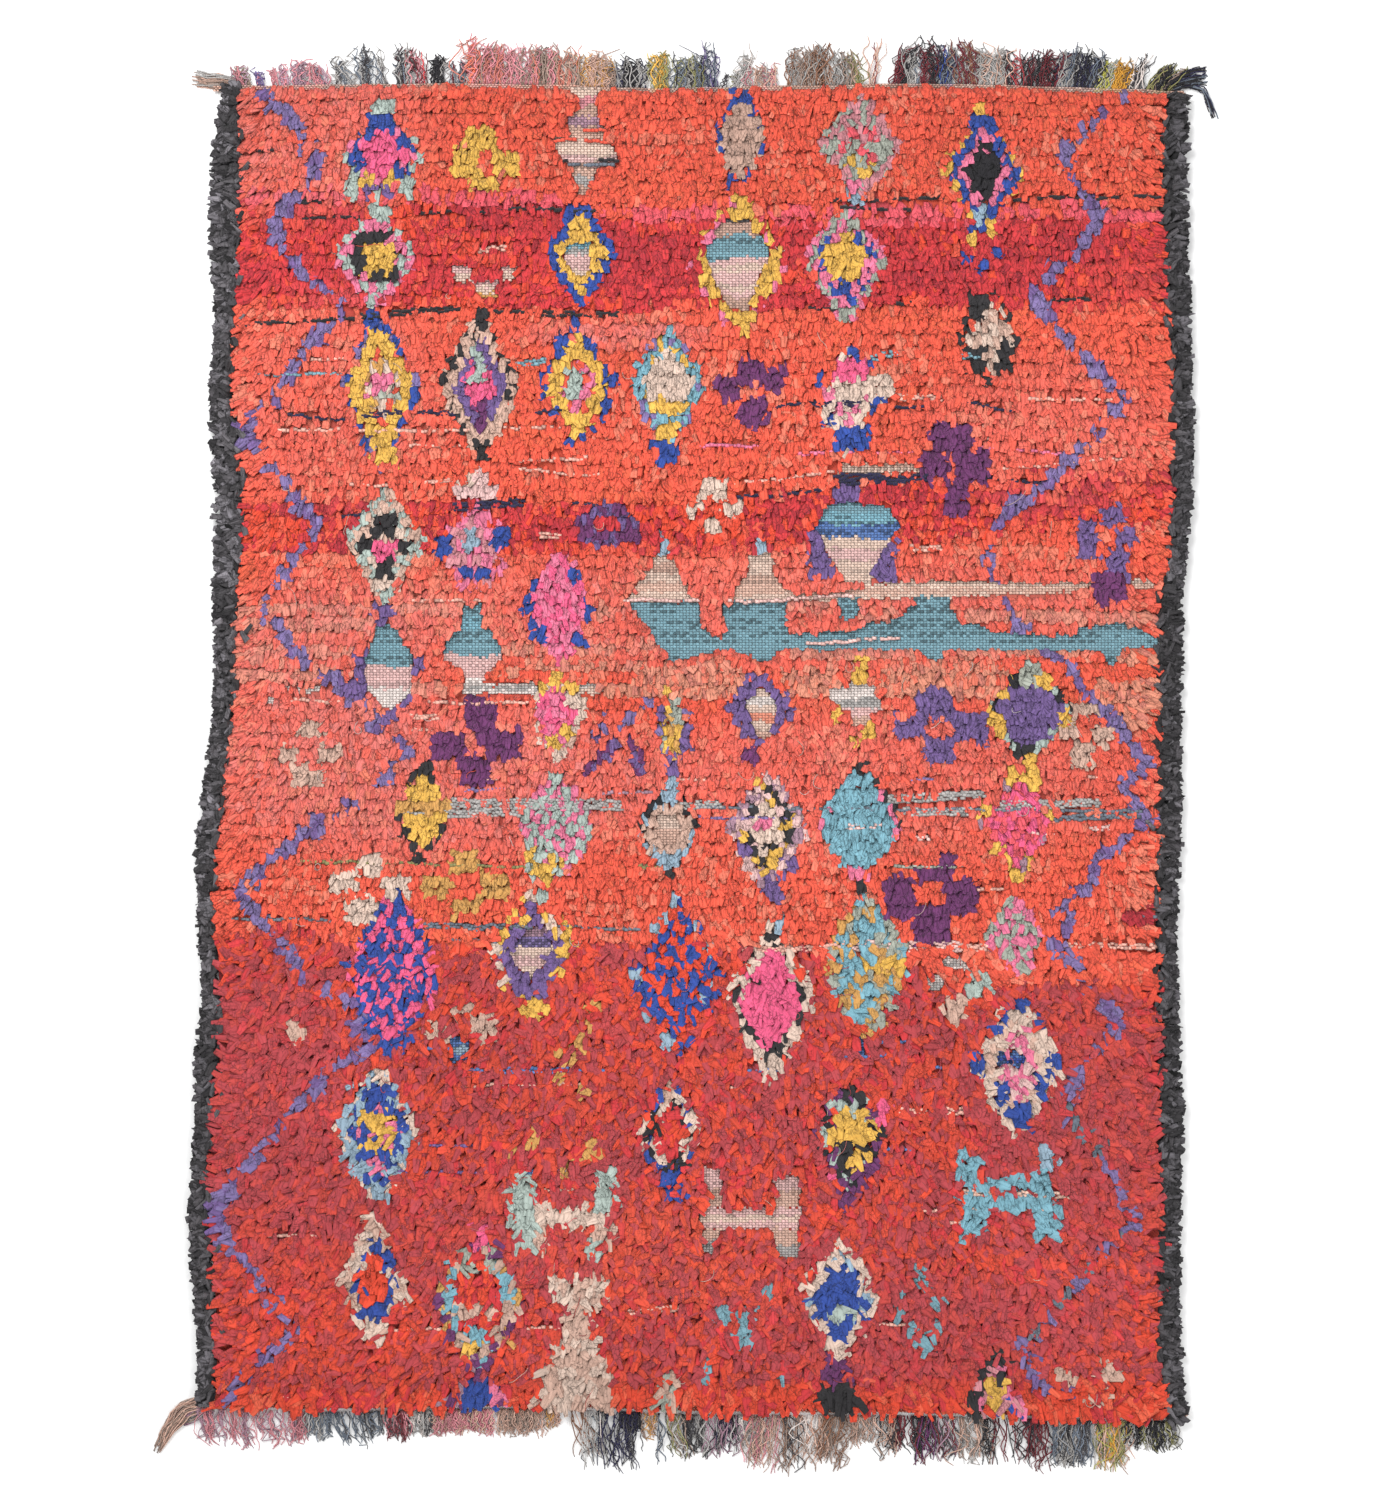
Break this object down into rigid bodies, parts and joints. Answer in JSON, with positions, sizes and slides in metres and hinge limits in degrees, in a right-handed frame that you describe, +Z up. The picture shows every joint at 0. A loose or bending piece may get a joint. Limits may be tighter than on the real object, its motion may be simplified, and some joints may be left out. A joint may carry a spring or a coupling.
{
  "type": "boucherouite rug",
  "caption": "Rag-pile floor rug lying flat, with knotted pile, dark rag side edges and a yarn fringe at both ends.",
  "frame": {"origin": "on the floor, under the middle of the whole rug's box, fringes and corner tassels included", "axes": "+Z up from the floor, +Y along the rug towards the end with the shorter fringe, +X to the right as the pile is seen from above"},
  "size_m": [1.6046, 2.141, 0.0285],
  "materials": {
    "pile_rags": "knotted cotton and jersey rag strips, matt, coral and red with motifs in many colours",
    "edge_rags": "charcoal jersey rag strips, matt",
    "fringe_yarn": "loose warp yarn in changing colours, matt"
  },
  "bodies": {
    "root": {"pile_field": "pile_rags", "edge_left": "edge_rags", "edge_right": "edge_rags", "fringe_short": "fringe_yarn", "fringe_long": "fringe_yarn"}
  },
  "joints": []
}
